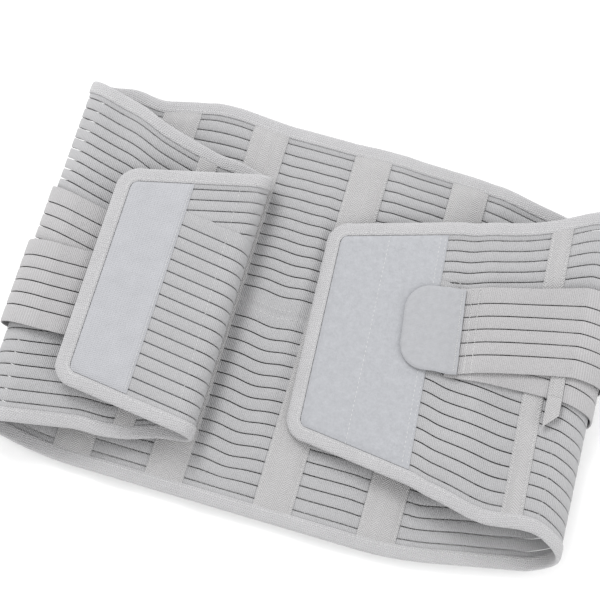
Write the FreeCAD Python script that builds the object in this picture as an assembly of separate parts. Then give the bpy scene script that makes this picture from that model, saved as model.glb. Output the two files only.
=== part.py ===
import FreeCAD, Part
import math
import os

# Lumbar support belt, lying on its back with both ends folded over it.
#
# Every piece is drawn on the belt laid flat and then carried to its folded place.
# On the flat belt, s runs along the belt from the centre of the back towards either end,
# v runs up its height, and n stands off its middle surface: n > 0 is the inner face, which
# lies against the body, and n < 0 is the outer face.
# The folded belt stands in a frame with X along the back, Y up its height and Z up.
# All sizes are in millimetres.

# The belt laid flat
HALF_LENGTH = 416.0            # centre of the back to either end
BACK_HALF_HEIGHT = 130.0       # half height over the middle of the back
BACK_HALF_WIDTH = 117.0        # the back keeps its full height up to here
WAIST_HALF_HEIGHT = 113.0      # half height at the waist, where the taper eases
WAIST_DISTANCE = 200.0
END_HALF_HEIGHT = 71.5
CORNER_RADIUS = 15.0
LOWER_STRIP_HEIGHT = 133.5     # the lower strip of webbing keeps one height all along

# Cloth thicknesses and widths
WEBBING_HALF = 1.3
BINDING_WIDTH = 9.0
BINDING_HALF = 2.1
SEAM_GAP = 0.18                # half the space between webbing and what it is sewn to
STAY_TAPE_WIDTH = 25.0
STAY_TAPE_THICK = 2.2
STAY_TAPE_PLACES = (-98.0, -36.0, 36.0, 104.0)
STAY_WIDTH = 14.0
STAY_THICK = 1.2
STAY_END_GAP = 14.0
SIDE_TAPE_WIDTH = 13.0
SIDE_TAPE_THICK = 0.8
SIDE_TAPE_PLACE = 266.0
LOOP_PANEL_WIDTH = 70.0
LOOP_PANEL_THICK = 1.4
HOOK_PANEL_WIDTH = 39.0
HOOK_PANEL_THICK = 1.4

# Pull straps: an upper and a lower one on each side, sewn down at the centre of the back
STRAP_WIDTH = 58.0
STRAP_THICK = 1.8
STRAP_START = 3.0
STRAP_ROOT = 39.0              # height of each strap's centre line at the centre of the back
NEAR_LEVEL = -2.3              # the strap that lies next to the belt
FAR_LEVEL = -5.2               # the strap that lies over the other one
KEEPER_LEVEL = -4.25
KEEPER_THICK = 0.8
KEEPER_WIDTH = 9.0
KEEPER_PLACE = 253.0
KEEPER_LOW = -36.0
KEEPER_HIGH = 48.0
TAB_LENGTH = 38.0
TAB_CORNER = 12.5
TAB_TOP = -6.2
TAB_BASE = -3.2

# The folds
MIDDLE_SHIFT = -26.5           # brings the middle of the folded belt over the origin
BACK_LEVEL = 7.0               # the back's middle surface above the ground
FOLD_RADIUS = 15.0
ROLL_RADIUS = 11.0
END_LEVEL = 13.0               # middle surface where a folded side comes down on the back
LEFT_FRONT_LENGTH = 103.5
LEFT_ROLL_LEAN = 7.0           # degrees by which the roll turns past a half turn
FACET_DEGREES = 17.0
SQUARE_MARGIN = 20.0
HINGE_GAP = 0.3                # half the space between two bodies at a hinge

OUTERMOST = FAR_LEVEL - STRAP_THICK


class Side:
    """One half of the belt: how its flat cloth is carried to its folded place."""

    def __init__(self, sign, crease, twist, slip, skew):
        self.sign = sign
        self.crease = crease
        self.twist = math.radians(twist)
        self.slip = slip
        self.skew = skew
        self.bends = []

    def fold(self, lean, front, roll):
        """Lay down the runs and turns: back, fold, front and, if it is rolled, the end."""
        turn = math.pi + lean
        arc = FOLD_RADIUS * turn
        self.turn = turn
        self.fold_end = self.crease + arc
        self.bends = [(self.crease, 0.0), (arc, turn), (front, 0.0)]
        self.front_end = self.fold_end + front
        self.roll_end = self.front_end
        if roll:
            self.roll_end = self.front_end + ROLL_RADIUS * roll
            self.bends.append((ROLL_RADIUS * roll, -roll))
            self.bends.append((HALF_LENGTH, 0.0))
        self.lower_hinge = self.crease + arc / 4
        self.upper_hinge = self.crease + 3 * arc / 4
        self.roll_hinge = (self.front_end + self.roll_end) / 2

    def profile(self, run, n):
        """Walk along the runs and turns and step off the middle surface."""
        across = 0.0
        up = BACK_LEVEL
        heading = 0.0
        left = run
        for length, turn in self.bends:
            step = min(left, length)
            if turn:
                radius = length / turn
                after = heading + step / radius
                across += radius * (math.sin(after) - math.sin(heading))
                up += radius * (math.cos(heading) - math.cos(after))
                heading = after
            else:
                across += step * math.cos(heading)
                up += step * math.sin(heading)
            left -= step
            if left <= 0:
                break
        return across - n * math.sin(heading), up + n * math.cos(heading)

    def run_of(self, s, v):
        """Distance along the fold's own direction, which the twist turns a little."""
        return self.crease + (s - self.crease) * math.cos(self.twist) + v * math.sin(self.twist)

    def place(self, s, v, n):
        """Carry a point of the flat cloth to the folded belt."""
        run = self.run_of(s, v)
        height = v * math.cos(self.twist) - (s - self.crease) * math.sin(self.twist)
        share = (run - self.crease) / (self.fold_end - self.crease)
        height += self.slip * min(1.0, max(0.0, share))
        height -= self.skew * max(0.0, run - self.front_end)
        across, up = self.profile(run, n)
        across -= self.crease
        x = self.crease + across * math.cos(self.twist) - height * math.sin(self.twist)
        y = across * math.sin(self.twist) + height * math.cos(self.twist)
        return FreeCAD.Vector(self.sign * x + MIDDLE_SHIFT, y, up)

    def on_line(self, run, edge):
        """The flat point (s, v) where an edge v = edge(s) crosses a line of equal run.

        Away from the fold the line is square to the belt instead.
        """
        s = run
        v = edge(s)
        if run < self.crease - SQUARE_MARGIN or run > self.fold_end + SQUARE_MARGIN:
            return s, v
        for _ in range(6):
            s = self.crease + (run - self.crease - v * math.sin(self.twist)) / math.cos(self.twist)
            v = edge(s)
        return s, v

    def facets(self, start, end):
        """Runs from start to end, close together where the cloth turns."""
        marks = [start, end]
        for kink in (BACK_HALF_WIDTH, WAIST_DISTANCE, HALF_LENGTH - CORNER_RADIUS):
            marks.append(kink)
        walked = 0.0
        for length, turn in self.bends:
            marks.append(walked)
            count = max(1, round(abs(math.degrees(turn)) / FACET_DEGREES))
            if turn:
                count += count % 2
                for number in range(1, count):
                    marks.append(walked + length * number / count)
            walked += length
            marks.append(walked)
        chosen = sorted(mark for mark in marks if start <= mark <= end)
        kept = [chosen[0]]
        for mark in chosen[1:]:
            if mark - kept[-1] > 1.0:
                kept.append(mark)
        kept[-1] = end
        return kept


def lean_of(crease, front):
    """The slope at which a folded side comes down from the fold to rest on the back."""
    lean = 0.1
    for _ in range(20):
        top = BACK_LEVEL + FOLD_RADIUS * (1 + math.cos(lean))
        length = front or HALF_LENGTH - crease - FOLD_RADIUS * (math.pi + lean)
        lean = math.asin((top - END_LEVEL) / length)
    return lean


RIGHT = Side(sign=1, crease=196.0, twist=1.8, slip=10.5, skew=0.0)
RIGHT.fold(lean_of(RIGHT.crease, 0.0), HALF_LENGTH, 0.0)
LEFT = Side(sign=-1, crease=143.0, twist=0.0, slip=-3.0, skew=0.08)
LEFT.fold(lean_of(LEFT.crease, LEFT_FRONT_LENGTH), LEFT_FRONT_LENGTH,
          math.radians(180.0 + LEFT_ROLL_LEAN))
PULL_HINGE = 277.0             # the right pull straps bend up here


# Edges of the pieces on the flat cloth

def half_height(s):
    """Half the belt's height at a distance s from the centre of the back."""
    s = abs(s)
    if s <= BACK_HALF_WIDTH:
        return BACK_HALF_HEIGHT
    if s <= WAIST_DISTANCE:
        share = (s - BACK_HALF_WIDTH) / (WAIST_DISTANCE - BACK_HALF_WIDTH)
        return BACK_HALF_HEIGHT + share * (WAIST_HALF_HEIGHT - BACK_HALF_HEIGHT)
    share = (s - WAIST_DISTANCE) / (HALF_LENGTH - WAIST_DISTANCE)
    return WAIST_HALF_HEIGHT + share * (END_HALF_HEIGHT - WAIST_HALF_HEIGHT)


def top_edge(s):
    return half_height(s)


def top_inner(s):
    return half_height(s) - BINDING_WIDTH


def bottom_edge(s):
    return -half_height(s)


def bottom_inner(s):
    return -half_height(s) + BINDING_WIDTH


def seam(s):
    """Where the upper strip of webbing meets the lower one."""
    return min(LOWER_STRIP_HEIGHT - half_height(s), top_inner(s))


def lower_web_bottom(s):
    """Lower edge of the lower strip, drawn in at the rounded corner of the end."""
    drawn_in = max(0.0, s - (HALF_LENGTH - CORNER_RADIUS)) * 0.9
    return bottom_inner(s) + SEAM_GAP + drawn_in


def lower_web_top(s):
    drawn_in = max(0.0, s - (HALF_LENGTH - CORNER_RADIUS)) * 0.9
    return seam(s) - SEAM_GAP - drawn_in


def upper_web_bottom(s):
    return seam(s) + SEAM_GAP


def upper_web_top(s):
    return top_inner(s) - SEAM_GAP


class Strap:
    """A pull strap on the flat cloth: its centre line is a shallow curve."""

    def __init__(self, root, rise, curve, level):
        self.root = root
        self.rise = rise
        self.curve = curve
        self.level = level

    def middle(self, s):
        return self.root + self.rise * s + self.curve * s * s

    def reach(self, s):
        slope = self.rise + 2 * self.curve * s
        return STRAP_WIDTH / 2 * math.sqrt(1 + slope * slope)

    def low(self, s):
        return self.middle(s) - self.reach(s)

    def high(self, s):
        return self.middle(s) + self.reach(s)


RIGHT_UPPER = Strap(STRAP_ROOT, 0.0191, -0.000288, FAR_LEVEL)
RIGHT_LOWER = Strap(-STRAP_ROOT, 0.3193, -0.000485, NEAR_LEVEL)
LEFT_UPPER = Strap(STRAP_ROOT, -0.155, 0.0, NEAR_LEVEL)
LEFT_LOWER = Strap(-STRAP_ROOT, 0.072, 0.0, FAR_LEVEL)
RIGHT_TAB_START = 317.0
LEFT_TAB_START = 338.0
TAB_SLOPE = -0.075


# Solids

def section(side, run, low, high, base, top):
    """The four corners of the cut through a strip of cloth on one line of equal run."""
    s_low, v_low = side.on_line(run, low)
    s_high, v_high = side.on_line(run, high)
    return [side.place(s_low, v_low, base), side.place(s_high, v_high, base),
            side.place(s_high, v_high, top), side.place(s_low, v_low, top)]


def flat_faces(corners):
    """One face through four corners, or two if the corners are not in one plane."""
    a, b, c, d = corners
    normal = (b - a).cross(c - a)
    if normal.Length > 1e-6 and abs(normal.normalize().dot(d - a)) < 1e-4:
        return [Part.Face(Part.makePolygon([a, b, c, d, a]))]
    return [Part.Face(Part.makePolygon([a, b, c, a])), Part.Face(Part.makePolygon([a, c, d, a]))]


def through(cuts):
    """A solid with flat faces through a row of four-cornered cuts."""
    faces = flat_faces(cuts[0]) + flat_faces(cuts[-1])
    for near, far in zip(cuts, cuts[1:]):
        for first in range(4):
            second = (first + 1) % 4
            faces += flat_faces([near[first], near[second], far[second], far[first]])
    solid = Part.Solid(Part.Shell(faces))
    if solid.Volume < 0:
        solid.reverse()
    return solid.removeSplitter()


def strip(side, start, end, low, high, base, top, extra=()):
    """A strip of cloth that follows the folds of one side."""
    runs = side.facets(start, end)
    for run in extra:
        if all(abs(run - known) > 2.0 for known in runs) and start < run < end:
            runs.append(run)
    runs.sort()
    cuts = [section(side, run, low, high, base, top) for run in runs]
    return through(cuts)


def back_strip(low, high, base, top):
    """A strip of cloth across the whole back, from the left fold to the right fold."""
    cuts = []
    for run in reversed(LEFT.facets(0.0, LEFT.lower_hinge - HINGE_GAP)[1:]):
        cuts.append(section(LEFT, run, low, high, base, top))
    for run in RIGHT.facets(0.0, RIGHT.lower_hinge - HINGE_GAP)[1:]:
        cuts.append(section(RIGHT, run, low, high, base, top))
    return through(cuts)


def patch(side, outline, base, top):
    """A flat piece of cloth with any outline, on a stretch that does not bend."""
    points = [side.place(s, v, base) for s, v in outline]
    face = Part.Face(Part.makePolygon(points + points[:1]))
    s, v = outline[0]
    return face.extrude(side.place(s, v, top) - side.place(s, v, base))


def rounded(centre_s, centre_v, radius, start, end, steps=5):
    """Points of a rounded corner, with angles in degrees."""
    points = []
    for number in range(steps + 1):
        angle = math.radians(start + (end - start) * number / steps)
        points.append((centre_s + radius * math.cos(angle), centre_v + radius * math.sin(angle)))
    return points


def end_binding(side):
    """The binding round the end of the belt, with its two rounded corners."""
    inner_radius = CORNER_RADIUS - BINDING_WIDTH
    centre_s = HALF_LENGTH - CORNER_RADIUS
    centre_v = half_height(centre_s) - CORNER_RADIUS
    outline = rounded(centre_s, centre_v, CORNER_RADIUS, 90, 0)
    outline += rounded(centre_s, -centre_v, CORNER_RADIUS, 0, -90)
    outline += rounded(centre_s, -centre_v, inner_radius, -90, 0)
    outline += rounded(centre_s, centre_v, inner_radius, 0, 90)
    return patch(side, outline, -BINDING_HALF, BINDING_HALF)


def end_panel(side, width, base, top):
    """A fastening panel sewn on just inside the end binding."""
    far = HALF_LENGTH - BINDING_WIDTH
    near = far - width
    cut = CORNER_RADIUS - BINDING_WIDTH
    low = bottom_inner(far) + 1.0
    high = top_inner(far) - 1.0
    outline = [(near, bottom_inner(near)), (far - cut, bottom_inner(far - cut)),
               (far, low + cut), (far, high - cut),
               (far - cut, top_inner(far - cut)), (near, top_inner(near))]
    return patch(side, outline, base, top)


def cross_tape(side, place, width, base, top):
    """A tape across the belt from one edge binding to the other."""
    near = place - width / 2
    far = place + width / 2
    outline = [(near, bottom_inner(near)), (far, bottom_inner(far)),
               (far, top_inner(far)), (near, top_inner(near))]
    return patch(side, outline, base, top)


def stay_tape(place):
    """A tape on the inner face of the back, with the pocket that holds its stay."""
    base = WEBBING_HALF
    tape = cross_tape(RIGHT, place, STAY_TAPE_WIDTH, base, base + STAY_TAPE_THICK)
    return tape.cut(stay(place))


def stay(place):
    """The flexible strip inside a stay tape."""
    base = WEBBING_HALF
    half = BACK_HALF_HEIGHT - BINDING_WIDTH - STAY_END_GAP
    near = place - STAY_WIDTH / 2
    far = place + STAY_WIDTH / 2
    outline = [(near, -half), (far, -half), (far, half), (near, half)]
    return patch(RIGHT, outline, base, base + STAY_THICK)


def strap_run(side, strap, start, end):
    """A stretch of a pull strap, with extra cuts where its centre line curves."""
    extra = [40.0 * number for number in range(1, 10)]
    return strip(side, start, end, strap.low, strap.high, strap.level, strap.level - STRAP_THICK,
                 extra)


def pull_tab(side, start, middle):
    """The tab that joins the two straps of a side and hooks on to the loop panel."""
    half = STRAP_WIDTH / 2
    outline = [(0.0, -half)]
    outline += rounded(TAB_LENGTH - TAB_CORNER, -half + TAB_CORNER, TAB_CORNER, -90, 0)
    outline += rounded(TAB_LENGTH - TAB_CORNER, half - TAB_CORNER, TAB_CORNER, 0, 90)
    outline.append((0.0, half))
    angle = math.atan(TAB_SLOPE)
    turned = []
    for along, up in outline:
        s = start + along * math.cos(angle) - up * math.sin(angle)
        v = middle + along * math.sin(angle) + up * math.cos(angle)
        turned.append((s, v))
    return patch(side, turned, TAB_BASE, TAB_TOP)


def keeper(side, middle_shift):
    """The tape that holds the lower strap down; its loose lower end is cut on a slant."""
    near = KEEPER_PLACE - KEEPER_WIDTH / 2
    far = KEEPER_PLACE + KEEPER_WIDTH / 2
    low = KEEPER_LOW + middle_shift
    high = KEEPER_HIGH + middle_shift
    outline = [(near, low + KEEPER_WIDTH), (far, low), (far, high), (near, high)]
    return patch(side, outline, KEEPER_LEVEL, KEEPER_LEVEL - KEEPER_THICK)


def body_strips(side, name, start, end):
    """The webbing and the edge bindings of one body between two runs."""
    pieces = {}
    pieces[name + "_lower_webbing"] = strip(side, start, end, lower_web_bottom, lower_web_top,
                                            -WEBBING_HALF, WEBBING_HALF)
    pieces[name + "_top_binding"] = strip(side, start, end, top_inner, top_edge,
                                          -BINDING_HALF, BINDING_HALF)
    pieces[name + "_bottom_binding"] = strip(side, start, end, bottom_edge, bottom_inner,
                                             -BINDING_HALF, BINDING_HALF)
    return pieces


def make_back():
    """The back: webbing, bindings, four stay tapes with their stays, and the strap roots."""
    pieces = {}
    pieces["back_lower_webbing"] = back_strip(lower_web_bottom, lower_web_top,
                                              -WEBBING_HALF, WEBBING_HALF)
    pieces["back_upper_webbing"] = back_strip(upper_web_bottom, upper_web_top,
                                              -WEBBING_HALF, WEBBING_HALF)
    pieces["back_top_binding"] = back_strip(top_inner, top_edge, -BINDING_HALF, BINDING_HALF)
    pieces["back_bottom_binding"] = back_strip(bottom_edge, bottom_inner,
                                               -BINDING_HALF, BINDING_HALF)
    for number, place in enumerate(STAY_TAPE_PLACES, start=1):
        pieces[f"stay_tape_{number}"] = stay_tape(place)
        pieces[f"stay_{number}"] = stay(place)
    for name, side, upper, lower in (("right", RIGHT, RIGHT_UPPER, RIGHT_LOWER),
                                     ("left", LEFT, LEFT_UPPER, LEFT_LOWER)):
        end = side.lower_hinge - HINGE_GAP
        pieces[f"back_{name}_upper_strap"] = strap_run(side, upper, STRAP_START, end)
        pieces[f"back_{name}_lower_strap"] = strap_run(side, lower, STRAP_START, end)
    return pieces


def make_fold(side, name, upper, lower):
    """The turned-over stretch between the two hinges of a fold."""
    start = side.lower_hinge + HINGE_GAP
    end = side.upper_hinge - HINGE_GAP
    pieces = body_strips(side, name, start, end)
    pieces[name + "_upper_webbing"] = strip(side, start, end, upper_web_bottom, upper_web_top,
                                            -WEBBING_HALF, WEBBING_HALF)
    pieces[name + "_upper_strap"] = strap_run(side, upper, start, end)
    pieces[name + "_lower_strap"] = strap_run(side, lower, start, end)
    return pieces


def seam_end():
    """Where the narrowing upper strip is cut off, just before the rounded corner."""
    return HALF_LENGTH - CORNER_RADIUS - 1.0


def upper_web(side, start, end):
    """A stretch of the upper strip, which narrows towards the end of the belt."""
    return strip(side, start, end, upper_web_bottom, upper_web_top, -WEBBING_HALF, WEBBING_HALF)


def make_right_front():
    """The right front with its end, tapes and panels."""
    start = RIGHT.upper_hinge + HINGE_GAP
    end = HALF_LENGTH - CORNER_RADIUS
    pieces = body_strips(RIGHT, "right_front", start, end)
    pieces["right_front_lower_webbing"] = strip(RIGHT, start, HALF_LENGTH - BINDING_WIDTH - 1.0,
                                                lower_web_bottom, lower_web_top,
                                                -WEBBING_HALF, WEBBING_HALF)
    pieces["right_front_upper_webbing"] = upper_web(RIGHT, start, seam_end())
    pieces["right_end_binding"] = end_binding(RIGHT)
    pieces["right_side_tape"] = cross_tape(RIGHT, SIDE_TAPE_PLACE, SIDE_TAPE_WIDTH,
                                           -WEBBING_HALF, -WEBBING_HALF - SIDE_TAPE_THICK)
    pieces["right_loop_panel"] = end_panel(RIGHT, LOOP_PANEL_WIDTH,
                                           -WEBBING_HALF, -WEBBING_HALF - LOOP_PANEL_THICK)
    pieces["right_keeper"] = keeper(RIGHT, 0.0)
    stop = PULL_HINGE - HINGE_GAP
    pieces["right_front_upper_strap"] = strap_run(RIGHT, RIGHT_UPPER, start, stop)
    pieces["right_front_lower_strap"] = strap_run(RIGHT, RIGHT_LOWER, start, stop)
    return pieces


def make_right_pull():
    """The free ends of the right straps and the tab that joins them."""
    start = PULL_HINGE + HINGE_GAP
    pieces = {}
    stop = RIGHT_TAB_START - 3.0
    pieces["right_pull_upper_strap"] = strap_run(RIGHT, RIGHT_UPPER, start, stop)
    pieces["right_pull_lower_strap"] = strap_run(RIGHT, RIGHT_LOWER, start, stop)
    middle = (RIGHT_UPPER.middle(RIGHT_TAB_START) + RIGHT_LOWER.middle(RIGHT_TAB_START)) / 2
    pieces["right_pull_tab"] = pull_tab(RIGHT, RIGHT_TAB_START, middle)
    return pieces


def make_left_front():
    """The left front up to the roll."""
    start = LEFT.upper_hinge + HINGE_GAP
    end = LEFT.roll_hinge - HINGE_GAP
    pieces = body_strips(LEFT, "left_front", start, end)
    pieces["left_front_upper_webbing"] = upper_web(LEFT, start, end)
    pieces["left_side_tape"] = cross_tape(LEFT, SIDE_TAPE_PLACE, SIDE_TAPE_WIDTH,
                                          -WEBBING_HALF, -WEBBING_HALF - SIDE_TAPE_THICK)
    pieces["left_keeper"] = keeper(LEFT, LEFT_LOWER.middle(KEEPER_PLACE) - 8.0)
    pieces["left_front_upper_strap"] = strap_run(LEFT, LEFT_UPPER, start, end)
    pieces["left_front_lower_strap"] = strap_run(LEFT, LEFT_LOWER, start, end)
    return pieces


def make_left_end():
    """The left end, rolled back on top of the left front with its inner face up."""
    start = LEFT.roll_hinge + HINGE_GAP
    end = HALF_LENGTH - CORNER_RADIUS
    pieces = body_strips(LEFT, "left_end", start, end)
    pieces["left_end_lower_webbing"] = strip(LEFT, start, HALF_LENGTH - BINDING_WIDTH - 1.0,
                                             lower_web_bottom, lower_web_top,
                                             -WEBBING_HALF, WEBBING_HALF)
    pieces["left_end_upper_webbing"] = upper_web(LEFT, start, seam_end())
    pieces["left_end_binding"] = end_binding(LEFT)
    pieces["left_loop_panel"] = end_panel(LEFT, LOOP_PANEL_WIDTH,
                                          -WEBBING_HALF, -WEBBING_HALF - LOOP_PANEL_THICK)
    pieces["left_hook_panel"] = end_panel(LEFT, HOOK_PANEL_WIDTH,
                                          WEBBING_HALF, WEBBING_HALF + HOOK_PANEL_THICK)
    stop = LEFT_TAB_START - 3.0
    pieces["left_end_upper_strap"] = strap_run(LEFT, LEFT_UPPER, start, stop)
    pieces["left_end_lower_strap"] = strap_run(LEFT, LEFT_LOWER, start, stop)
    middle = (LEFT_UPPER.middle(LEFT_TAB_START) + LEFT_LOWER.middle(LEFT_TAB_START)) / 2
    pieces["left_pull_tab"] = pull_tab(LEFT, LEFT_TAB_START, middle)
    return pieces


def main():
    pieces = {}
    pieces.update(make_back())
    pieces.update(make_fold(RIGHT, "right_fold", RIGHT_UPPER, RIGHT_LOWER))
    pieces.update(make_right_front())
    pieces.update(make_right_pull())
    pieces.update(make_fold(LEFT, "left_fold", LEFT_UPPER, LEFT_LOWER))
    pieces.update(make_left_front())
    pieces.update(make_left_end())
    os.makedirs("parts", exist_ok=True)
    for name, shape in pieces.items():
        shape.exportStep(f"parts/{name}.step")
        box = shape.BoundBox
        print(f"{name:28s} valid {shape.isValid()} solids {len(shape.Solids)} "
              f"volume {shape.Volume:9.1f} x {box.XMin:7.1f} {box.XMax:7.1f} "
              f"z {box.ZMin:5.1f} {box.ZMax:5.1f}")
    print(len(pieces), "nodes")
    for name, side in (("right", RIGHT), ("left", LEFT)):
        print(name, "turn", math.degrees(side.turn), "fold end", side.fold_end,
              "front end", side.front_end, "roll end", side.roll_end)
        for hinge, offset in ((side.lower_hinge, OUTERMOST), (side.upper_hinge, OUTERMOST),
                              (side.roll_hinge, BINDING_HALF + HINGE_GAP), (PULL_HINGE, OUTERMOST)):
            if hinge < HALF_LENGTH:
                s, v = side.on_line(hinge, lambda s: 0.0)
                print("  hinge at", side.place(s, v, offset))


main()
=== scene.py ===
import math

import bmesh
import bpy
from mathutils import Matrix, Vector, noise


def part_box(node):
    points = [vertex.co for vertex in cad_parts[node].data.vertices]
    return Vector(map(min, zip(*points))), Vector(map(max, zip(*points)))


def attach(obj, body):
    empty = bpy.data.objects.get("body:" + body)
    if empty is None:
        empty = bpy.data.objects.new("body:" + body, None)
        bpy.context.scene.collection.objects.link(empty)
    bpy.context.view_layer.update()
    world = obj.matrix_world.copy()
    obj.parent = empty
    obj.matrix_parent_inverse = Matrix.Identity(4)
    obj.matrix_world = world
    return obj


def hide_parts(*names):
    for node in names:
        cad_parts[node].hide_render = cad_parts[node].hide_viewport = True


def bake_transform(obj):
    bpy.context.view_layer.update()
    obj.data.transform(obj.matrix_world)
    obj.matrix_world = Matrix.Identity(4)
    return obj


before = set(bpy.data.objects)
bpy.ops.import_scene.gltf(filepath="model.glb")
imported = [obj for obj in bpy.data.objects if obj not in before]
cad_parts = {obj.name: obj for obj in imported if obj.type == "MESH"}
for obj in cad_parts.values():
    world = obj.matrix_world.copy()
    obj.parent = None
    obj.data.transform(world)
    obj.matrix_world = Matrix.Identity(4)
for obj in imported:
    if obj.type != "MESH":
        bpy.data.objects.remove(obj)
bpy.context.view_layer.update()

bl_info = {
    "name": "Lumbar support belt",
    "version": (1, 0, 0),
    "blender": (4, 5, 0),
    "location": "View3D > Sidebar > Belt",
    "description": "Makes the cloth, tapes and straps of a folded lumbar support belt",
    "category": "Add Mesh",
}

# Every piece is drawn on the belt laid flat and then carried to its folded place.
# On the flat belt, s runs along the belt from the centre of the back towards either end,
# v runs up its height, and n stands off its middle surface: n > 0 is the inner face,
# n < 0 is the outer face. All lengths are in metres.

STAY_TAPE_BOXES = [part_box(f"stay_tape_{number}") for number in range(1, 5)]
STAY_TAPE_CENTRES = [(low.x + high.x) / 2 for low, high in STAY_TAPE_BOXES]
MIDDLE_SHIFT = (STAY_TAPE_CENTRES[1] + STAY_TAPE_CENTRES[2]) / 2
STAY_TAPE_WIDTH = STAY_TAPE_BOXES[0][1].x - STAY_TAPE_BOXES[0][0].x
BACK_HALF_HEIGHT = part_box("back_top_binding")[1].y

# The belt laid flat
HALF_LENGTH = 0.416
BACK_HALF_WIDTH = 0.117
WAIST_HALF_HEIGHT = 0.113
WAIST_DISTANCE = 0.200
END_HALF_HEIGHT = 0.0715
EDGE_EASE = 0.025              # half the length over which the edge eases into its taper
CORNER_RADIUS = 0.015
STRIP_HEIGHT = 0.1335          # the lower strip of webbing keeps one height all along

# Cloth
WEBBING_HALF = 0.00115
WEBBING_EDGE_HALF = 0.00075
BINDING_WIDTH = 0.009
BINDING_HALF = 0.0021
BINDING_STITCH_INSET = 0.0072  # from the outer edge to the binding's row of stitches
ZIGZAG = 0.6                   # how far a zigzag's stitches lean, in radians
SEWN_LAP = 0.0004              # half the lap where two strips are sewn together
TUCK = 0.0062                  # how far in from the outer edge the first band starts
TOP_TUCK = 0.006               # how far in from the top edge the lower strip stops
SEAM_STITCH_INSET = 0.0028     # from the seam to the row of stitches on either side
SLOT_COUNT = 15
FIRST_SLOT = 0.0127
SLOT_PITCH = 0.00795
UPPER_SLOT_PITCH = 0.0073
SIDE_TAPE_WIDTH = 0.013
SIDE_TAPE_PLACE = 0.266
LOOP_PANEL_WIDTH = 0.070
LOOP_PANEL_LEAN = 0.03         # how far the loop panel's inner edge leans per metre of height
LOOP_PANEL_SEAM = 0.375        # where the row of stitches runs up the loop panel
HOOK_PANEL_WIDTH = 0.039

# Pull straps
STRAP_WIDTH = 0.0555
STRAP_START = 0.003
STRAP_ROOT = 0.039
STRAP_HALF = 0.00075
STRAP_FIRST_SLOT = 0.0108
STRAP_PITCH = 0.0084
STRAP_SLOTS = 5
NEAR_LEVEL = -0.0032
FAR_LEVEL = -0.0061
KEEPER_WIDTH = 0.009
KEEPER_PLACE = 0.253
KEEPER_LOW = -0.036
KEEPER_HIGH = 0.048
KEEPER_LEVEL = -0.0046
TAB_LENGTH = 0.038
TAB_CORNER = 0.0160
TAB_SLOPE = -0.075
RIGHT_TAB_START = 0.317
LEFT_TAB_START = 0.338

# The folds
FOLD_RADIUS = 0.015
ROLL_RADIUS = 0.011
BACK_LEVEL = 0.007
END_LEVEL = 0.013
LEFT_FRONT_LENGTH = 0.1035
LEFT_ROLL_LEAN = 7.0
PULL_BEND_START = 0.268
PULL_BEND_END = 0.286
PULL_SPLIT = 0.258
LEFT_SPLIT = 0.297             # the rolled end's pieces start here, inside the roll

FLAT_STEP = 0.003
BENT_STEP = 0.0016
SHARP = math.radians(40)


def smooth(low, high, value):
    """0 below low, 1 above high and an even rise between."""
    share = min(1.0, max(0.0, (value - low) / (high - low)))
    return share * share * (3 - 2 * share)


def bell(centre, width, value):
    return math.exp(-((value - centre) / width) ** 2)


def eased(past):
    """A ramp that starts gently: 0 well before its start and the distance well past it."""
    if past <= -EDGE_EASE:
        return 0.0
    if past >= EDGE_EASE:
        return past
    return (past + EDGE_EASE) ** 2 / (4 * EDGE_EASE)


def half_height(s):
    """Half the belt's height at a distance s from the centre of the back."""
    first = (BACK_HALF_HEIGHT - WAIST_HALF_HEIGHT) / (WAIST_DISTANCE - BACK_HALF_WIDTH)
    second = (WAIST_HALF_HEIGHT - END_HALF_HEIGHT) / (HALF_LENGTH - WAIST_DISTANCE)
    s = abs(s)
    drop = first * eased(s - BACK_HALF_WIDTH) - (first - second) * eased(s - WAIST_DISTANCE)
    return BACK_HALF_HEIGHT - drop


def seam(s):
    """Where the upper strip of webbing meets the lower one."""
    return STRIP_HEIGHT - half_height(s)


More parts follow.
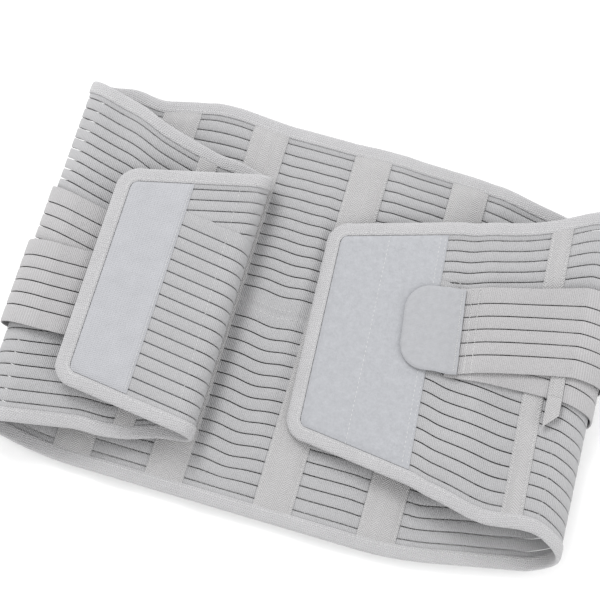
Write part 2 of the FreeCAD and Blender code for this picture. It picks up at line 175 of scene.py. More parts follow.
class Side:
    """One half of the belt: how its flat cloth is carried to its folded place."""

    def __init__(self, sign, crease, twist, slip, skew):
        self.sign = sign
        self.crease = crease
        self.twist = math.radians(twist)
        self.slip = slip
        self.skew = skew

    def fold(self, front, roll):
        """Lay down the runs and turns: back, fold, front and, if it is rolled, the end."""
        turn = math.pi + self.lean(front)
        arc = FOLD_RADIUS * turn
        self.fold_middle = self.crease + arc / 2
        self.fold_end = self.crease + arc
        self.front_end = self.fold_end + (front or HALF_LENGTH)
        self.roll_end = self.front_end + ROLL_RADIUS * roll
        self.bends = [(self.crease, 0.0), (arc, turn), (front or HALF_LENGTH, 0.0)]
        if roll:
            self.bends.append((ROLL_RADIUS * roll, -roll))
            self.bends.append((HALF_LENGTH, 0.0))

    def lean(self, front):
        """The slope at which the folded side comes down from the fold to the back."""
        lean = 0.1
        for _ in range(20):
            top = BACK_LEVEL + FOLD_RADIUS * (1 + math.cos(lean))
            length = front or HALF_LENGTH - self.crease - FOLD_RADIUS * (math.pi + lean)
            lean = math.asin((top - END_LEVEL) / length)
        return lean

    def profile(self, run, n):
        """Walk along the runs and turns and step off the middle surface."""
        across = 0.0
        up = BACK_LEVEL
        heading = 0.0
        left = run
        for length, turn in self.bends:
            step = min(left, length)
            if turn:
                radius = length / turn
                after = heading + step / radius
                across += radius * (math.sin(after) - math.sin(heading))
                up += radius * (math.cos(heading) - math.cos(after))
                heading = after
            else:
                across += step * math.cos(heading)
                up += step * math.sin(heading)
            left -= step
            if left <= 0:
                break
        return across - n * math.sin(heading), up + n * math.cos(heading)

    def folded(self, run, height, n):
        """The place of a point by its run, its height along the fold and its level."""
        across, up = self.profile(run, n)
        across -= self.crease
        x = self.crease + across * math.cos(self.twist) - height * math.sin(self.twist)
        y = across * math.sin(self.twist) + height * math.cos(self.twist)
        return Vector((self.sign * x + MIDDLE_SHIFT, y, up))

    def place(self, s, v, n):
        """Carry a point of the flat cloth to the folded belt, with the cloth's soft relief."""
        lift, creep = relief(self, s, v, n)
        v += creep
        turned = s - self.crease
        run = self.crease + turned * math.cos(self.twist) + v * math.sin(self.twist)
        height = v * math.cos(self.twist) - turned * math.sin(self.twist)
        share = (run - self.crease) / (self.fold_end - self.crease)
        height += self.slip * min(1.0, max(0.0, share))
        height -= self.skew * max(0.0, run - self.front_end)
        return self.folded(run, height, n + lift)

    def on_line(self, run, edge):
        """The flat point (s, v) where an edge v = edge(s) crosses a line of equal run."""
        near = smooth(self.crease - 0.03, self.crease - 0.005, run)
        near -= smooth(self.fold_end + 0.005, self.fold_end + 0.03, run)
        s = run
        for _ in range(2):
            s = run - edge(s) * math.sin(self.twist) * near
        return s, edge(s)

    def steps(self, start, end):
        """Runs from start to end, closer together where the cloth bends."""
        runs = [start]
        while runs[-1] < end:
            run = runs[-1]
            bent = self.crease - 0.002 < run < self.fold_end + 0.002
            bent = bent or self.front_end - 0.002 < run < self.roll_end + 0.002
            runs.append(run + (BENT_STEP if bent else FLAT_STEP))
        if end - runs[-2] < 0.0005:
            runs.pop()
        runs[-1] = end
        return runs


RIGHT = Side(sign=1, crease=0.196, twist=1.8, slip=0.0105, skew=0.0)
RIGHT.fold(0.0, 0.0)
LEFT = Side(sign=-1, crease=0.143, twist=0.0, slip=-0.003, skew=0.08)
LEFT.fold(LEFT_FRONT_LENGTH, math.radians(180.0 + LEFT_ROLL_LEAN))


def relief(side, s, v, n):
    """How far the cloth stands off its even surface, and how far it creeps up its height."""
    along = side.sign * s
    lift = 0.0
    creep = 0.0
    back = 1.0 - smooth(side.crease - 0.035, side.crease - 0.005, s)
    if back:
        free = 1.0
        for centre in STAY_TAPE_CENTRES:
            off = abs(along - (centre - MIDDLE_SHIFT))
            free *= smooth(STAY_TAPE_WIDTH / 2 + 0.001, STAY_TAPE_WIDTH / 2 + 0.010, off)
        inside = 1.0 - smooth(0.095, 0.122, abs(v))
        layer = smooth(-0.006, -0.001, n)
        # Ripples between the tapes
        ripple = noise.noise(Vector((along * 38, v * 17, 0.5)))
        lift += back * free * layer * 0.0013 * (1 + ripple)
        # A double ridge up the middle of the back, strongest in its lower half
        middle = along - 0.003 - 0.05 * v - 0.006 * noise.noise(Vector((0.3, v * 11, 8.5)))
        strength = 0.3 + 0.7 * (1.0 - smooth(0.0, 0.09, v))
        ridge = 0.0021 * bell(-0.011, 0.010, middle) + 0.0019 * bell(0.013, 0.008, middle)
        lift += layer * inside * strength * ridge * free
        creep -= inside * strength * 0.0022 * bell(0.001, 0.011, middle) * free
        creep += back * free * inside * 0.0016 * noise.noise(Vector((along * 26, v * 7, 3.5)))
        # The wavy top edge
        high = back * smooth(0.04, 0.125, v)
        creep += high * (0.0030 * bell(-0.062, 0.028, along) - 0.0065 * bell(-0.125, 0.03, along))
        creep += high * 0.0016 * bell(0.045, 0.022, along)
    # The right side's two edges wave just past the fold
    if side is RIGHT and s > side.crease:
        high = smooth(0.03, 0.09, v)
        low = smooth(0.03, 0.09, -v)
        creep += high * (0.0060 * bell(0.243, 0.020, s) - 0.0015 * bell(0.292, 0.022, s))
        creep += low * (0.0025 * bell(0.252, 0.014, s) - 0.0040 * bell(0.287, 0.018, s))
    # A valley down the right front, with a swelling beside its lower half
    if side is RIGHT and s > side.fold_end:
        front = smooth(side.fold_end, side.fold_end + 0.02, s)
        front *= 1.0 - smooth(0.318, 0.332, s)
        fold_line = s - 0.302 - 0.05 * v
        lift -= front * (0.0034 * bell(0.004, 0.010, fold_line) + 0.0006)
        lift += front * 0.0042 * bell(-0.017, 0.010, fold_line) * smooth(0.005, 0.03, -v)
        creep -= front * 0.0016 * smooth(-0.015, 0.012, fold_line)
    # A soft crease down the left front
    if side is LEFT and side.fold_end < s < side.front_end:
        front = smooth(side.fold_end, side.fold_end + 0.02, s)
        front *= 1.0 - smooth(side.front_end - 0.03, side.front_end - 0.005, s)
        lift -= front * 0.0026 * bell(0.236, 0.014, s + 0.12 * v)
        creep -= front * 0.0030 * smooth(0.222, 0.246, s + 0.12 * v)
    return lift, creep


class Strap:
    """A pull strap on the flat cloth: its centre line is a shallow curve."""

    def __init__(self, root, rise, curve, level):
        self.root = root
        self.rise = rise
        self.curve = curve
        self.level = level

    def middle(self, s):
        return self.root + self.rise * s + self.curve * s * s

    def across(self, s, share):
        """Height of the point at a share of the strap's width above its lower edge."""
        slope = self.rise + 2 * self.curve * s
        reach = STRAP_WIDTH * math.sqrt(1 + slope * slope)
        return self.middle(s) + (share - 0.5) * reach


RIGHT_UPPER = Strap(STRAP_ROOT, 0.0191, -0.288, FAR_LEVEL)
RIGHT_LOWER = Strap(-STRAP_ROOT, 0.3193, -0.485, NEAR_LEVEL)
LEFT_UPPER = Strap(STRAP_ROOT, -0.155, 0.0, NEAR_LEVEL)
LEFT_LOWER = Strap(-STRAP_ROOT, 0.072, 0.0, FAR_LEVEL)


# Settings a user would change

def length_property(name, description, default, low, high):
    return bpy.props.FloatProperty(
        name=name, description=description, default=default, min=low, max=high,
        unit="LENGTH")


class BeltSizes(bpy.types.PropertyGroup):
    slot_width: length_property(
        "Slot width", "Space between two bands of webbing", 0.0008, 0.0003, 0.003)
    stitch_length: length_property(
        "Stitch length", "Length of one stitch of the sewing thread", 0.0020, 0.001, 0.006)
    stitch_pitch: length_property(
        "Stitch pitch", "Distance from one stitch to the next", 0.0030, 0.0015, 0.01)
    thread_width: length_property(
        "Thread width", "Width of the sewing thread", 0.00042, 0.0002, 0.002)


def colour_property(name, description, default):
    return bpy.props.FloatVectorProperty(
        name=name, description=description, default=default, size=3, min=0.0, max=1.0,
        subtype="COLOR")


class BeltColours(bpy.types.PropertyGroup):
    webbing: colour_property("Webbing", "Elastic webbing of the belt", (0.360, 0.359, 0.366))
    strap: colour_property("Strap", "Elastic webbing of the pull straps", (0.368, 0.362, 0.367))
    binding: colour_property("Binding", "Knitted edge binding", (0.415, 0.412, 0.420))
    tape: colour_property("Tape", "Twill tape over the stays", (0.420, 0.415, 0.418))
    loop: colour_property("Loop", "Brushed loop panels", (0.325, 0.331, 0.350))
    hook: colour_property("Hook", "Hook panel", (0.372, 0.376, 0.396))
    tab: colour_property("Tab", "Moulded pull tabs", (0.313, 0.317, 0.332))
    thread: colour_property("Thread", "Sewing thread", (0.56, 0.56, 0.555))
    stay: colour_property("Stay", "Stays inside their tapes", (0.62, 0.62, 0.60))


class BeltStudio(bpy.types.PropertyGroup):
    key_power: bpy.props.FloatProperty(
        name="Key light", description="Power of the large soft light at the upper left",
        default=30.0, min=0.0, max=500.0, subtype="POWER", unit="POWER")
    fill_power: bpy.props.FloatProperty(
        name="Fill light", description="Power of the soft light at the right",
        default=8.0, min=0.0, max=500.0, subtype="POWER", unit="POWER")
    surround: bpy.props.FloatProperty(
        name="Surround", description="Brightness of the white room around the belt",
        default=1.10, min=0.0, max=3.0)
    floor: colour_property("Floor", "The pale floor", (0.93, 0.93, 0.93))


def sizes():
    return bpy.context.scene.belt_sizes


# Materials

class Number:
    """A number from a shader socket; sums and products of it add Math nodes."""

    def __init__(self, finish, socket):
        self.finish = finish
        self.socket = socket

    def math(self, operation, *others):
        return self.finish.math(operation, self, *others)

    def __add__(self, other):
        return self.math("ADD", other)

    __radd__ = __add__

    def __mul__(self, other):
        return self.math("MULTIPLY", other)

    __rmul__ = __mul__

    def __sub__(self, other):
        return self.math("SUBTRACT", other)

    def __rsub__(self, other):
        return self.finish.math("SUBTRACT", other, self)

    def __truediv__(self, other):
        return self.math("DIVIDE", other)

    def wave(self, length):
        """0 to 1 and back over each length."""
        return (self * (2 * math.pi / length)).math("SINE") * 0.5 + 0.5

    def zigzag(self, length):
        """Up and down over each length, as a distance."""
        return self.math("PINGPONG", length / 2)

    def over(self, low, high):
        """0 below low, 1 above high and an even rise between."""
        return self.finish.node("ShaderNodeMapRange", {"interpolation_type": "SMOOTHSTEP"},
                                {"Value": self, "From Min": low, "From Max": high})


class Finish:
    """One material, built from nodes."""

    def __init__(self, name, **constants):
        self.material = bpy.data.materials.new(name)
        self.material.use_nodes = True
        self.tree = self.material.node_tree
        self.shader = self.tree.nodes["Principled BSDF"]
        for socket, value in constants.items():
            self.shader.inputs[socket.replace("_", " ").title().replace("Ior", "IOR")
                               ].default_value = value

    def node(self, kind, settings, inputs, output=0):
        """Add a node: its settings first, then the values or links of its sockets."""
        made = self.tree.nodes.new(kind)
        for name, value in settings.items():
            setattr(made, name, value)
        for name, value in inputs.items():
            if isinstance(value, Number):
                self.tree.links.new(value.socket, made.inputs[name])
            else:
                made.inputs[name].default_value = value
        return Number(self, made.outputs[output])

    def math(self, operation, *values):
        return self.node("ShaderNodeMath", {"operation": operation}, dict(enumerate(values)))

    def flat_place(self):
        """The flat cloth's place, s and v at each point, from the piece's own UV map."""
        cloth = self.node("ShaderNodeUVMap", {"uv_map": "cloth"}, {})
        s = self.node("ShaderNodeSeparateXYZ", {}, {"Vector": cloth}, 0)
        v = Number(self, s.socket.node.outputs[1])
        return cloth, s, v

    def mottle(self, place, scale, detail=2.0, roughness=0.5):
        return self.node("ShaderNodeTexNoise", {},
                         {"Vector": place, "Scale": scale, "Detail": detail,
                          "Roughness": roughness})

    def stretched(self, place, along, across):
        """The place with its two directions scaled, for threads and ribs."""
        return self.node("ShaderNodeVectorMath", {"operation": "MULTIPLY"},
                         {0: place, 1: (along, across, 1.0)})

    def tint(self, colour, amount):
        """A colour made lighter or darker by a number that varies about 1."""
        grey = self.node("ShaderNodeCombineColor", {}, {0: amount, 1: amount, 2: amount})
        return self.node("ShaderNodeMix", {"data_type": "RGBA", "blend_type": "MULTIPLY"},
                         {0: 1.0, 6: (*colour, 1.0), 7: grey}, 2)

    def set(self, socket, value):
        self.tree.links.new(value.socket, self.shader.inputs[socket])

    def bump(self, height, depth, strength=1.0):
        """Stand the surface off by a height from 0 to 1 times a depth in metres."""
        made = self.node("ShaderNodeBump", {},
                         {"Strength": strength, "Distance": depth, "Height": height})
        self.set("Normal", made)

    def dressed(self, colour, tone, rough, height, depth, strength=1.0):
        """The finished material: its tinted colour, its roughness and its bump."""
        self.set("Base Color", self.tint(colour, tone))
        if rough is not None:
            self.set("Roughness", rough)
        self.bump(height, depth, strength)
        return self.material


def colours():
    return bpy.context.scene.belt_colours


def elastic_finish(name, colour):
    """Elastic webbing: fine ribs across each band, finer yarns along it."""
    finish = Finish(name, roughness=0.86, sheen_weight=0.18, sheen_roughness=0.5)
    cloth, s, v = finish.flat_place()
    wander = finish.mottle(cloth, 160.0)
    ribs = (s + wander * 0.0003).wave(0.00115)
    yarns = v.wave(0.00075)
    cloudy = finish.mottle(cloth, 28.0, 3.0)
    flecks = finish.mottle(finish.stretched(cloth, 1400.0, 700.0), 1.0, 1.0)
    weave = ribs * 0.75 + yarns * 0.22 + flecks * 0.45
    return finish.dressed(colour, 0.74 + weave * 0.28 + cloudy * 0.14,
                          0.80 + flecks * 0.14, weave, 0.00042, 0.9)


def binding_finish():
    """Knitted binding: rows of small slanted loops along the edge."""
    finish = Finish("knitted_binding", roughness=0.9, sheen_weight=0.25, sheen_roughness=0.5)
    cloth, s, v = finish.flat_place()
    rows = v.zigzag(0.0028)
    slanted = (s + rows * 0.8).wave(0.0015)
    courses = v.wave(0.0014)
    cloudy = finish.mottle(cloth, 55.0, 3.0)
    fuzz = finish.mottle(cloth, 1300.0, 1.0)
    knit = slanted * 0.55 + courses * 0.3 + fuzz * 0.3
    return finish.dressed(colours().binding, 0.78 + knit * 0.26 + cloudy * 0.16,
                          0.82 + fuzz * 0.14, knit, 0.00060, 1.0)


def twill_finish():
    """Herringbone tape: slanted threads that turn back every few millimetres."""
    finish = Finish("herringbone_tape", roughness=0.75, sheen_weight=0.2, sheen_roughness=0.4)
    cloth, s, v = finish.flat_place()
    columns = s.zigzag(0.0086)
    slanted = (v + columns * 1.05).wave(0.0017)
    fuzz = finish.mottle(cloth, 1500.0, 1.0)
    cloudy = finish.mottle(cloth, 60.0, 2.0)
    twill = slanted * 0.75 + fuzz * 0.3
    return finish.dressed(colours().tape, 0.74 + twill * 0.32 + cloudy * 0.10,
                          0.66 + fuzz * 0.2, twill, 0.00050, 1.0)


def loop_finish():
    """Brushed loop felt: clumped fibres with a soft mottled tone."""
    finish = Finish("brushed_loop", roughness=0.95, sheen_weight=0.4, sheen_roughness=0.6)
    cloth, s, v = finish.flat_place()
    clumps = finish.mottle(cloth, 520.0, 4.0, 0.7)
    patches = finish.mottle(cloth, 190.0, 3.0)
    fibres = finish.mottle(finish.stretched(cloth, 1500.0, 900.0), 1.0, 2.0)
    felt = clumps * 0.7 + fibres * 0.4
    return finish.dressed(colours().loop, 0.60 + felt * 0.50 + patches * 0.24,
                          0.86 + fibres * 0.12, felt, 0.00055, 0.8)


def hook_finish():
    """Hook tape: close rows of tiny hooks on a firm ground."""
    finish = Finish("hook_tape", roughness=0.6, sheen_weight=0.15)
    cloth, s, v = finish.flat_place()
    rows = s.wave(0.0016)
    hooks = v.wave(0.0012)
    worn = finish.mottle(cloth, 90.0, 3.0)
    specks = finish.mottle(cloth, 900.0, 2.0)
    stubble = rows * hooks * 0.8 + specks * 0.4
    return finish.dressed(colours().hook, 0.80 + stubble * 0.20 + worn * 0.18,
                          0.5 + specks * 0.3, stubble, 0.00045, 0.8)


def tab_finish():
    """Moulded tab: a smooth matt skin with a faint grain."""
    finish = Finish("moulded_tab", roughness=0.55)
    cloth, s, v = finish.flat_place()
    grain = finish.mottle(cloth, 900.0, 3.0)
    cloudy = finish.mottle(cloth, 260.0, 3.0)
    rows = v.wave(0.0011)
    return finish.dressed(colours().tab, 0.78 + grain * 0.20 + cloudy * 0.24,
                          0.6 + grain * 0.25, grain * 0.6 + rows * 0.3, 0.00022, 0.8)


def thread_finish():
    """Sewing thread: two plies twisted together."""
    finish = Finish("sewing_thread", roughness=0.6, sheen_weight=0.2)
    cloth, s, v = finish.flat_place()
    plies = (s + v * 0.8).wave(0.0006)
    return finish.dressed(colours().thread, 0.86 + plies * 0.18,
                          None, plies, 0.00008)


def stay_finish():
    """Stay strip: drawn plastic with fine lengthwise lines."""
    finish = Finish("stay_strip", roughness=0.4)
    place = finish.node("ShaderNodeTexCoord", {}, {}, 3)
    lines = finish.mottle(finish.stretched(place, 1800.0, 30.0), 1.0, 2.0)
    return finish.dressed(colours().stay, 0.88 + lines * 0.2,
                          0.3 + lines * 0.25, lines, 0.00005)


FINISHES = {}


def finish_of(slot):
    """The material of a record slot, made once."""
    makers = {
        "webbing": lambda: elastic_finish("elastic_webbing", colours().webbing),
        "strap": lambda: elastic_finish("elastic_strap", colours().strap),
        "binding": binding_finish, "twill_tape": twill_finish, "keeper": twill_finish,
        "loop": loop_finish, "hook": hook_finish, "tab": tab_finish, "stay": stay_finish,
        "thread": thread_finish,
    }
    if slot not in FINISHES:
        FINISHES[slot] = makers[slot]()
    return FINISHES[slot]


# Drawing on the flat cloth

def add_object(name, data):
    """A new object in the scene, at the origin until it is placed."""
    made = bpy.data.objects.new(name, data)
    bpy.context.scene.collection.objects.link(made)
    return made


def stitch_marks(start, end, zigzag):
    """Where each stitch of a row stands, twice as close together in a zigzag."""
    pitch = sizes().stitch_pitch * (0.5 if zigzag else 1.0)
    return [(number, start + (number + 0.5) * pitch) for number in range(int((end - start) / pitch))]


class Drawing:
    """A piece being drawn flat: its points hold (s, v, n) until it is laid."""

    def __init__(self, name, side, slot):
        self.name = name
        self.side = side
        self.slot = slot
        self.mesh = bmesh.new()
        self.cloth_area = 0.0

    def slab(self, along, across, shape, material=0):
        """A slab of cloth whose points go where shape(step, share, face) says."""
        first = len(self.mesh.verts)
        made = bmesh.ops.create_grid(self.mesh, x_segments=along, y_segments=across, size=1.0,
                                     matrix=Matrix.Translation((0, 0, 1)))
        faces = list({face for vert in made["verts"] for face in vert.link_faces})
        bmesh.ops.solidify(self.mesh, geom=faces, thickness=2.0)
        self.mesh.verts.ensure_lookup_table()
        for vert in self.mesh.verts[first:]:
            step = round((vert.co.x + 1) / 2 * along)
            share = round((vert.co.y + 1) / 2 * across)
            vert.co = shape(step, share, 1 if vert.co.z > 0 else -1)
        for face in faces:
            self.cloth_area += face.calc_area()

    def band(self, start, end, low, high, level, half, edge_half):
        """A band of webbing between two edges, thinner at its rounded edges."""
        runs = self.side.steps(start, end)
        spread = (0.0, 0.10, 0.5, 0.90, 1.0)
        halves = (edge_half, half * 0.97, half, half * 0.97, edge_half)

        def shape(step, share, face):
            part = spread[share]
            s, v = self.side.on_line(runs[step], lambda s: low(s) + (high(s) - low(s)) * part)
            return s, v, level(s) + face * halves[share]

        self.slab(len(runs) - 1, len(spread) - 1, shape)

    def sew(self, places):
        """Add a stitch at each (s, v, n, angle)."""
        size = sizes()
        for s, v, n, angle in places:
            where = (Matrix.Translation((s, v, n)) @ Matrix.Rotation(angle, 4, "Z")
                     @ Matrix.Diagonal((size.stitch_length / 2, size.thread_width / 2,
                                        size.thread_width * 0.42, 1.0)))
            made = bmesh.ops.create_icosphere(self.mesh, subdivisions=1, radius=1.0,
                                              matrix=where)
            for vert in made["verts"]:
                for face in vert.link_faces:
                    face.material_index = 1

    def sew_along(self, start, end, edge, level, zigzag=0.0):
        """A row of stitches along s on the line v = edge(s)."""
        places = []
        for number, s in stitch_marks(start, end, zigzag):
            slope = math.atan((edge(s + 0.001) - edge(s - 0.001)) / 0.002)
            places.append((s, edge(s), level, slope + zigzag * (-1) ** number))
        self.sew(places)

    def sew_across(self, low, high, line, level, zigzag=0.0):
        """A row of stitches up the cloth on the line s = line(v)."""
        places = []
        for number, v in stitch_marks(low, high, zigzag):
            lean = math.atan((line(v + 0.001) - line(v - 0.001)) / 0.002)
            places.append((line(v), v, level, math.pi / 2 - lean + zigzag * (-1) ** number))
        self.sew(places)

    def lay(self):
        """Carry the drawing to the folded belt and make it an object."""
        cloth = self.mesh.loops.layers.uv.new("cloth")
        for face in self.mesh.faces:
            face.smooth = True
            for loop in face.loops:
                loop[cloth].uv = (self.side.sign * loop.vert.co.x, loop.vert.co.y)
        for vert in self.mesh.verts:
            vert.co = self.side.place(*vert.co)
        bmesh.ops.recalc_face_normals(self.mesh, faces=self.mesh.faces)
        for edge in self.mesh.edges:
            edge.smooth = edge.calc_face_angle(0.0) < SHARP
        data = bpy.data.meshes.new(self.name)
        self.mesh.to_mesh(data)
        self.mesh.free()
        data.materials.append(finish_of(self.slot))
        data.materials.append(finish_of("thread"))
        piece = add_object(self.name, data)
        return piece


# Which side each stretch of the belt lies on, where it starts and ends, and the function that bakes
# its place

def fold_points(side, start, end, n):
    """Two points across a bend, level along its hinge."""
    return side.folded(start, 0.0, n), side.folded(end, 0.0, n)


def bend_back(side, piece, n=0.0):
    start, end = fold_points(side, side.crease, side.fold_middle, n)
    f"{name_of(side)}_fold"
    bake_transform(piece)


def bend_front(side, piece, n=0.0):
    start, end = fold_points(side, side.fold_middle, side.fold_end, n)
    f"{name_of(side)}_fold"
    f"{name_of(side)}_front"
    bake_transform(piece)


def bend_roll(side, piece, n=0.0):
    """Find points square to the rolled end, and bake the piece's place."""
    end = side.folded(side.roll_end, 0.0, n)
    up = side.folded(side.roll_end, 0.0, n + 0.001) - end
    start = end - up.normalized() * 2 * (ROLL_RADIUS + n)
    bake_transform(piece)


def name_of(side):
    return "right" if side is RIGHT else "left"


# The two stretches of the back meet under the third stay tape, BACK_SPLIT from the centre.
BACK_SPLIT = 0.036
STRETCHES = {
    "left_end": (LEFT, LEFT_SPLIT, HALF_LENGTH, bend_roll),
    "left_front": (LEFT, LEFT.fold_middle, LEFT_SPLIT, bend_front),
    "left_back": (LEFT, -BACK_SPLIT, LEFT.fold_middle, bend_back),
    "right_back": (RIGHT, BACK_SPLIT, RIGHT.fold_middle, bend_back),
    "right_front": (RIGHT, RIGHT.fold_middle, HALF_LENGTH, bend_front),
}


def nodes_of(stretch, part):
    """The frame's nodes that a stretch of webbing or binding stands for."""
    bodies = [stretch]
    if stretch.endswith("_back"):
        bodies = ["back", stretch.replace("_back", "_fold")]
    return [f"{body}_{part}" for body in bodies]


def bands_of(first, pitch, slots, start, full):
    """Where each band starts and ends, measured in from an edge."""
    half_slot = sizes().slot_width / 2
    edges = [start]
    for number in range(slots):
        edges.append(first + number * pitch)
    edges.append(full)
    bands = []
    for number in range(slots + 1):
        near = edges[number] + (half_slot if number else 0.0)
        far = edges[number + 1] - (half_slot if number < slots else -SEWN_LAP)
        bands.append((near, far))
    return bands


def seam_meets(near):
    """The distance from the centre at which a band of the upper strip reaches the seam."""
    low = 0.0
    high = HALF_LENGTH - 0.005
    for _ in range(30):
        middle = (low + high) / 2
        if half_height(middle) - near - seam(middle) > 0.0008:
            low = middle
        else:
            high = middle
    return low


def middle_level(s):
    """The webbing runs along the belt's own middle surface."""
    return 0.0


def make_lower_webbing(stretch):
    side, start, end, bend = STRETCHES[stretch]
    end = min(end, HALF_LENGTH - 0.005)
    drawing = Drawing(f"{stretch}_lower_bands", side, "webbing")
    for near, far in bands_of(FIRST_SLOT, SLOT_PITCH, SLOT_COUNT, TUCK, STRIP_HEIGHT):
        drawing.band(start, end, lambda s: near - half_height(s),
                     lambda s: min(far, 2 * half_height(s) - TOP_TUCK) - half_height(s),
                     middle_level, WEBBING_HALF, WEBBING_EDGE_HALF)
    finish_webbing(drawing, stretch, "lower_webbing", (STRIP_HEIGHT, end - start), bend,
                   -SEAM_STITCH_INSET, min(end, 0.400))


def make_upper_webbing(stretch):
    side, start, end, bend = STRETCHES[stretch]
    drawing = Drawing(f"{stretch}_upper_bands", side, "webbing")
    full = 2 * BACK_HALF_HEIGHT - STRIP_HEIGHT
    for near, far in bands_of(FIRST_SLOT, UPPER_SLOT_PITCH, SLOT_COUNT, TUCK, full):
        stop = min(end, seam_meets(near))
        if stop - start < 0.004:
            continue
        drawing.band(start, stop,
                     lambda s: max(half_height(s) - far, seam(s) - SEWN_LAP),
                     lambda s: half_height(s) - near,
                     middle_level, WEBBING_HALF, WEBBING_EDGE_HALF)
    tallest = 2 * half_height(max(start, 0.0)) - STRIP_HEIGHT
    finish_webbing(drawing, stretch, "upper_webbing", (tallest, end - start), bend,
                   SEAM_STITCH_INSET, min(end, 0.392))


def finish_webbing(drawing, stretch, part, flat, bend, inset, sewn_end):
    """Sew along the seam on both faces, lay the strip, hide the frame's parts it stands for and bake
    its place.
    """
    if stretch != "left_end":
        for level in (WEBBING_HALF, -WEBBING_HALF):
            drawing.sew_along(STRETCHES[stretch][1], sewn_end, lambda s: seam(s) + inset, level)
    piece = drawing.lay()
    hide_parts(*nodes_of(stretch, part))
    bend(drawing.side, piece)


def edge_path(side, start, end, top):
    """Points of the outer edge with the direction into the cloth."""
    sign = 1 if top else -1
    path = []
    for run in side.steps(start, end):
        s, v = side.on_line(run, lambda s: sign * half_height(s))
        path.append((s, v, 0.0, -sign))
    return path


def end_path(side, start):
    """The outer edge from the top, round the end of the belt and back along the bottom."""
    corner_s = HALF_LENGTH - CORNER_RADIUS
    corner_v = half_height(corner_s) - CORNER_RADIUS
    path = edge_path(side, start, corner_s - 0.003, True)
    for number in range(9):
        angle = math.radians(90 - 90 * number / 8)
        path.append((corner_s + CORNER_RADIUS * math.cos(angle),
                     corner_v + CORNER_RADIUS * math.sin(angle),
                     -math.cos(angle), -math.sin(angle)))
    straight = round(2 * corner_v / FLAT_STEP)
    for number in range(1, straight):
        path.append((HALF_LENGTH, corner_v * (1 - 2 * number / straight), -1.0, 0.0))
    for s, v, in_s, in_v in reversed(path[:-straight + 1]):
        path.append((s, -v, in_s, -in_v))
    return path


BINDING_SECTION = ((0.0, 0.86), (0.05, 0.97), (0.25, 1.0), (0.5, 0.96), (0.75, 0.90),
                   (0.90, 0.70), (0.97, 0.42), (1.0, 0.12))


def bind(drawing, path):
    """A folded tape along an edge, thickest at its inner edge and closed over the rim."""
    def shape(step, share, face):
        s, v, in_s, in_v = path[step]
        out, thick = BINDING_SECTION[share]
        inward = BINDING_WIDTH * (1 - out)
        return s + in_s * inward, v + in_v * inward, face * thick * BINDING_HALF

    drawing.slab(len(path) - 1, len(BINDING_SECTION) - 1, shape)
    walked = 0.0
    due = 0.0
    places = []
    size = sizes()
    for near, far in zip(path, path[1:]):
        step = math.hypot(far[0] - near[0], far[1] - near[1])
        while due < walked + step:
            share = (due - walked) / step
            s = near[0] + (far[0] - near[0]) * share
            v = near[1] + (far[1] - near[1]) * share
            angle = math.atan2(far[1] - near[1], far[0] - near[0])
            for level in (BINDING_HALF, -BINDING_HALF):
                places.append((s + near[2] * BINDING_STITCH_INSET,
                               v + near[3] * BINDING_STITCH_INSET, level * 0.97, angle))
            due += size.stitch_pitch
        walked += step
    drawing.sew(places)


def make_binding(stretch):
    side, start, end, bend = STRETCHES[stretch]
    if end == HALF_LENGTH:
        drawing = Drawing(f"{stretch}_edge_tape", side, "binding")
        bind(drawing, end_path(side, start))
        piece = drawing.lay()
        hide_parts(f"{name_of(side)}_end_binding", f"{stretch}_top_binding",
                    f"{stretch}_bottom_binding")
        bend(side, piece)
        return
    for part, top in (("top_binding", True), ("bottom_binding", False)):
        word = "upper" if top else "lower"
        drawing = Drawing(f"{stretch}_{word}_edge_tape", side, "binding")
        bind(drawing, edge_path(side, start, end, top))
        piece = drawing.lay()
        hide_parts(*nodes_of(stretch, part))
        bend(side, piece)


def make_stay_tape(number):
    """A raised tape over a stay, thin where it is sewn down along both edges."""
    centre = STAY_TAPE_CENTRES[number - 1] - MIDDLE_SHIFT
    half = STAY_TAPE_WIDTH / 2
    section = ((-1.0, 0.0019), (-0.93, 0.0023), (-0.72, 0.0026), (-0.55, 0.0033),
               (0.0, 0.0036), (0.55, 0.0033), (0.72, 0.0026), (0.93, 0.0023), (1.0, 0.0019))
    reach = BACK_HALF_HEIGHT - BINDING_WIDTH + 0.002
    steps = 80
    drawing = Drawing(f"stay_{number}_tape", RIGHT, "twill_tape")

    def shape(step, share, face):
        v = reach * (2 * step / steps - 1)
        out, top = section[share]
        tucked = smooth(reach - 0.009, reach, abs(v))
        if face < 0:
            return centre + out * half, v, WEBBING_HALF * 0.9
        return centre + out * half, v, top + (0.0017 - top) * tucked

    drawing.slab(steps, len(section) - 1, shape)
    for place in (-half + 0.0014, half - 0.0014):
        drawing.sew_across(-reach + 0.006, reach - 0.006, lambda v: centre + place, 0.0024)
    piece = drawing.lay()
    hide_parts(f"stay_tape_{number}")
    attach(piece, "back")


